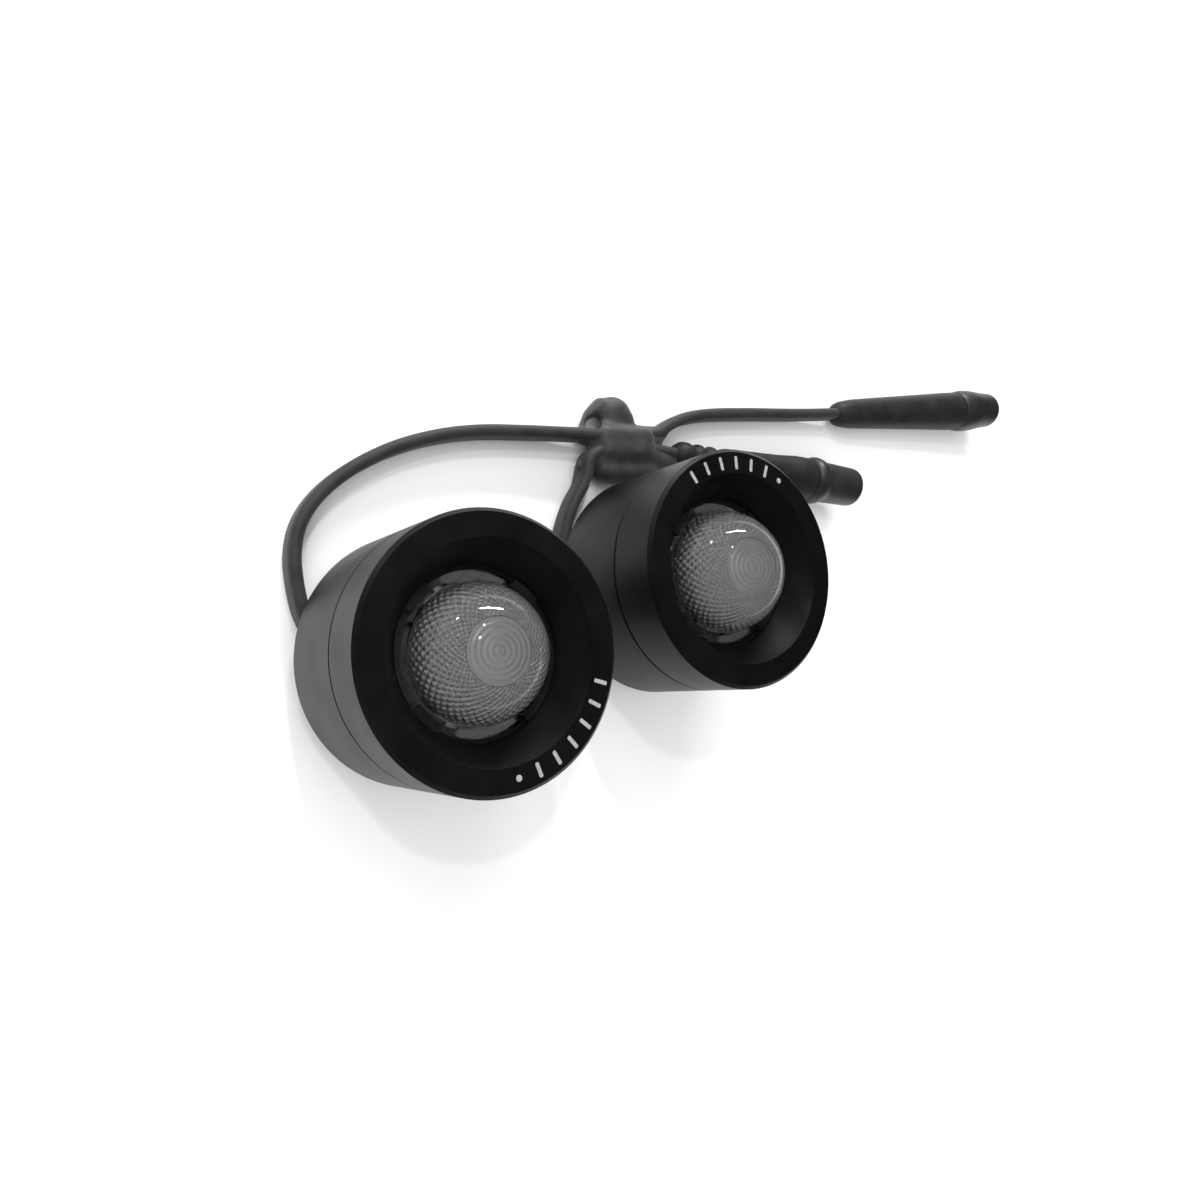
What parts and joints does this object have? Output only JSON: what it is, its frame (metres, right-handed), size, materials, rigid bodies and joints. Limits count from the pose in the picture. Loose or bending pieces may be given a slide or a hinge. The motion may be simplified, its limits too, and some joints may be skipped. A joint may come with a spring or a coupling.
{
  "type": "spot lamp pair",
  "caption": "Pair of small round LED spot lamps with dome lenses in funnel-shaped front rings, flat leads joined by a rubber tie and ending in moulded round plugs.",
  "frame": {"origin": "on the surface the lamps stand on, midway between their axes", "axes": "+Z along both beams, +X from the left lamp to the right lamp, +Y to the side the leads run on"},
  "size_m": [0.1976, 0.0596, 0.0384],
  "materials": {
    "anodised_body": "satin black anodised aluminium",
    "clear_lens": "clear moulded optic",
    "carrier_plastic": "matt moulded plastic",
    "seal_rubber": "matt",
    "spring_steel": "oiled spring steel",
    "screw_steel": "plain stainless",
    "white_board": "white solder mask",
    "green_board": "green solder mask",
    "phosphor": "phosphor under clear silicone",
    "pad_rubber": "soft heat-conducting pad",
    "component_plastic": "moulded component bodies",
    "amber_film": "thin film",
    "core_insulation": "insulated cores",
    "contact_brass": "plated contacts",
    "cable_rubber": "matt dark grey jacket",
    "tie_rubber": "matt moulded rubber",
    "plug_plastic": "matt dark grey plastic",
    "insert_plastic": "matt plastic"
  },
  "bodies": {
    "lamp_bodies": {"housing_left": "anodised_body", "housing_right": "anodised_body", "rear_cover_left": "anodised_body", "rear_cover_right": "anodised_body", "body_seal_left": "seal_rubber", "body_seal_right": "seal_rubber", "rear_seal_left": "seal_rubber", "rear_seal_right": "seal_rubber", "led_board_left": "white_board", "led_board_right": "white_board", "led_emitter_left": "phosphor", "led_emitter_right": "phosphor", "thermal_pad_left": "pad_rubber", "thermal_pad_right": "pad_rubber", "board_screws_left": "screw_steel", "board_screws_right": "screw_steel", "cover_screws_left": "screw_steel", "cover_screws_right": "screw_steel", "led_pins_left": "contact_brass", "led_pins_right": "contact_brass", "driver_board_left": "green_board", "driver_board_right": "green_board", "driver_parts_left": "component_plastic", "driver_parts_right": "component_plastic", "insulator_left": "amber_film", "insulator_right": "amber_film", "input_leads_left": "core_insulation", "input_leads_right": "core_insulation", "lead_boot_left": "cable_rubber", "lead_boot_right": "cable_rubber", "plug_grip_left": "cable_rubber", "plug_grip_right": "cable_rubber", "lead_left": "cable_rubber", "lead_right": "cable_rubber", "plug_shell_left": "plug_plastic", "plug_shell_right": "plug_plastic", "plug_insert_left": "insert_plastic", "plug_insert_right": "insert_plastic", "plug_contacts_left": "contact_brass", "plug_contacts_right": "contact_brass", "cable_tie": "tie_rubber"},
    "lens_stack_left": {"lens_left": "clear_lens", "lens_carrier_left": "carrier_plastic", "lens_gasket_left": "seal_rubber"},
    "front_ring_left": {"bezel_left": "anodised_body", "lens_circlip_left": "spring_steel"},
    "lens_stack_right": {"lens_right": "clear_lens", "lens_carrier_right": "carrier_plastic", "lens_gasket_right": "seal_rubber"},
    "front_ring_right": {"bezel_right": "anodised_body", "lens_circlip_right": "spring_steel"}
  },
  "joints": [
    {"name": "lens_travel_left", "type": "slide", "parent": "lamp_bodies", "child": "lens_stack_left", "axis": [0, 0, 1], "range_m": [0, 0.00401]},
    {"name": "bezel_turn_left", "type": "hinge", "parent": "lens_stack_left", "child": "front_ring_left", "pos_m": [-0.02555, 0, 0.0336], "axis": [0, 0, 1], "range_deg": [0, 1440]},
    {"name": "lens_travel_right", "type": "slide", "parent": "lamp_bodies", "child": "lens_stack_right", "axis": [0, 0, 1], "range_m": [0, 0.00401]},
    {"name": "bezel_turn_right", "type": "hinge", "parent": "lens_stack_right", "child": "front_ring_right", "pos_m": [0.02555, 0, 0.0336], "axis": [0, 0, 1], "range_deg": [0, 1440]}
  ],
  "couplings": [
    {"joint": "lens_travel_left", "follows": "bezel_turn_left", "m_per_rad": 0.00015915},
    {"joint": "lens_travel_right", "follows": "bezel_turn_right", "m_per_rad": 0.00015915}
  ]
}
